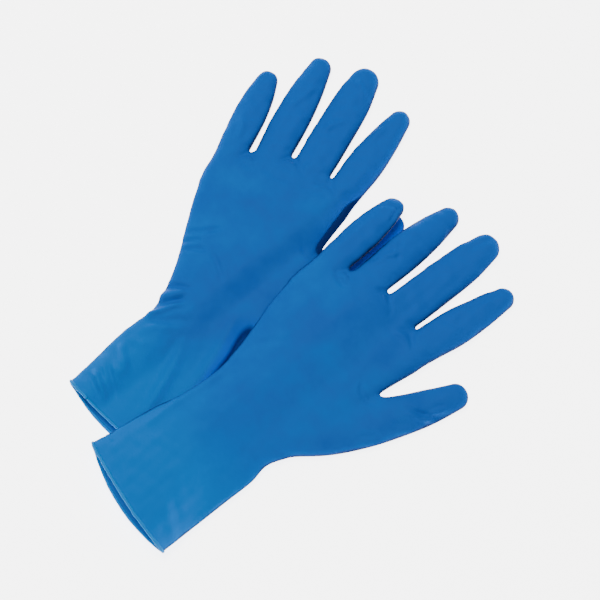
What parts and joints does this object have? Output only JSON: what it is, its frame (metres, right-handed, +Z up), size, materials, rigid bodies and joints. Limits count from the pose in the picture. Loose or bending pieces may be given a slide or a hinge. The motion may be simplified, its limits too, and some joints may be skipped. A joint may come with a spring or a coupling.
{
  "type": "rubber gloves",
  "caption": "Long-cuff household rubber gloves with rolled cuff beads, lying one across the other, hollow, with fingers and cuffs that bend.",
  "frame": {"origin": "middle of the pair's footprint, on the surface that it lies on", "axes": "+Y along the upper glove from its cuff to its fingers, +X to the side of its thumb, +Z up"},
  "size_m": [0.2595, 0.3146, 0.0227],
  "materials": {
    "skin": "satin",
    "bead": "satin"
  },
  "bodies": {
    "lower_hand": {"lower_hand": "skin"},
    "lower_cuff": {"lower_cuff": "skin", "lower_bead": "bead"},
    "lower_thumb": {"lower_thumb": "skin"},
    "lower_index": {"lower_index": "skin"},
    "lower_middle": {"lower_middle": "skin"},
    "lower_ring": {"lower_ring": "skin"},
    "lower_little": {"lower_little": "skin"},
    "upper_hand": {"upper_hand": "skin"},
    "upper_cuff": {"upper_cuff": "skin", "upper_bead": "bead"},
    "upper_thumb": {"upper_thumb": "skin"},
    "upper_index": {"upper_index": "skin"},
    "upper_middle": {"upper_middle": "skin"},
    "upper_ring": {"upper_ring": "skin"},
    "upper_little": {"upper_little": "skin"}
  },
  "joints": [
    {"name": "upper_glove_lift", "type": "slide", "parent": "lower_hand", "child": "upper_hand", "axis": [0, 0, 1], "range_m": [0, 0.15]},
    {"name": "lower_cuff_swing", "type": "hinge", "parent": "lower_hand", "child": "lower_cuff", "pos_m": [-0.04736, -0.0582, 0.005], "axis": [0, 0, -1], "range_deg": [0, 8], "stiffness_Nm_per_rad": 0.01},
    {"name": "upper_cuff_bend", "type": "hinge", "parent": "upper_hand", "child": "upper_cuff", "pos_m": [0.04687, -0.06867, 0.02001], "axis": [-1, 0, 0], "range_deg": [0, 60], "stiffness_Nm_per_rad": 0.01},
    {"name": "lower_thumb_swing", "type": "hinge", "parent": "lower_hand", "child": "lower_thumb", "pos_m": [-0.00366, 0.06221, 0.0025], "axis": [0, 0, 1], "range_deg": [0, 10], "stiffness_Nm_per_rad": 0.002},
    {"name": "lower_index_bend", "type": "hinge", "parent": "lower_hand", "child": "lower_index", "pos_m": [-0.03245, 0.09635, 0.00958], "axis": [0.9739, 0.227, 0], "range_deg": [0, 80], "stiffness_Nm_per_rad": 0.002},
    {"name": "lower_middle_bend", "type": "hinge", "parent": "lower_hand", "child": "lower_middle", "pos_m": [-0.05908, 0.09032, 0.0096], "axis": [0.9351, 0.3543, 0], "range_deg": [0, 80], "stiffness_Nm_per_rad": 0.002},
    {"name": "lower_ring_bend", "type": "hinge", "parent": "lower_hand", "child": "lower_ring", "pos_m": [-0.08444, 0.0749, 0.00964], "axis": [0.9206, 0.3904, 0], "range_deg": [0, 80], "stiffness_Nm_per_rad": 0.002},
    {"name": "lower_little_bend", "type": "hinge", "parent": "lower_hand", "child": "lower_little", "pos_m": [-0.10486, 0.0601, 0.00956], "axis": [0.8929, 0.4503, 0], "range_deg": [0, 80], "stiffness_Nm_per_rad": 0.002},
    {"name": "upper_thumb_bend", "type": "hinge", "parent": "upper_hand", "child": "upper_thumb", "pos_m": [0.11052, 0.02243, 0.00908], "axis": [0.9246, -0.3809, 0], "range_deg": [0, 70], "stiffness_Nm_per_rad": 0.002},
    {"name": "upper_index_bend", "type": "hinge", "parent": "upper_hand", "child": "upper_index", "pos_m": [0.0847, 0.06977, 0.00958], "axis": [0.988, -0.1543, 0], "range_deg": [0, 80], "stiffness_Nm_per_rad": 0.002},
    {"name": "upper_middle_bend", "type": "hinge", "parent": "upper_hand", "child": "upper_middle", "pos_m": [0.05775, 0.07416, 0.01142], "axis": [0.9998, -0.0218, 0], "range_deg": [0, 80], "stiffness_Nm_per_rad": 0.002},
    {"name": "upper_ring_bend", "type": "hinge", "parent": "upper_hand", "child": "upper_ring", "pos_m": [0.02847, 0.06935, 0.01844], "axis": [0.9999, 0.0171, 0], "range_deg": [0, 80], "stiffness_Nm_per_rad": 0.002},
    {"name": "upper_little_bend", "type": "hinge", "parent": "upper_hand", "child": "upper_little", "pos_m": [0.00398, 0.06329, 0.01836], "axis": [0.9965, 0.0831, 0], "range_deg": [0, 80], "stiffness_Nm_per_rad": 0.002}
  ]
}
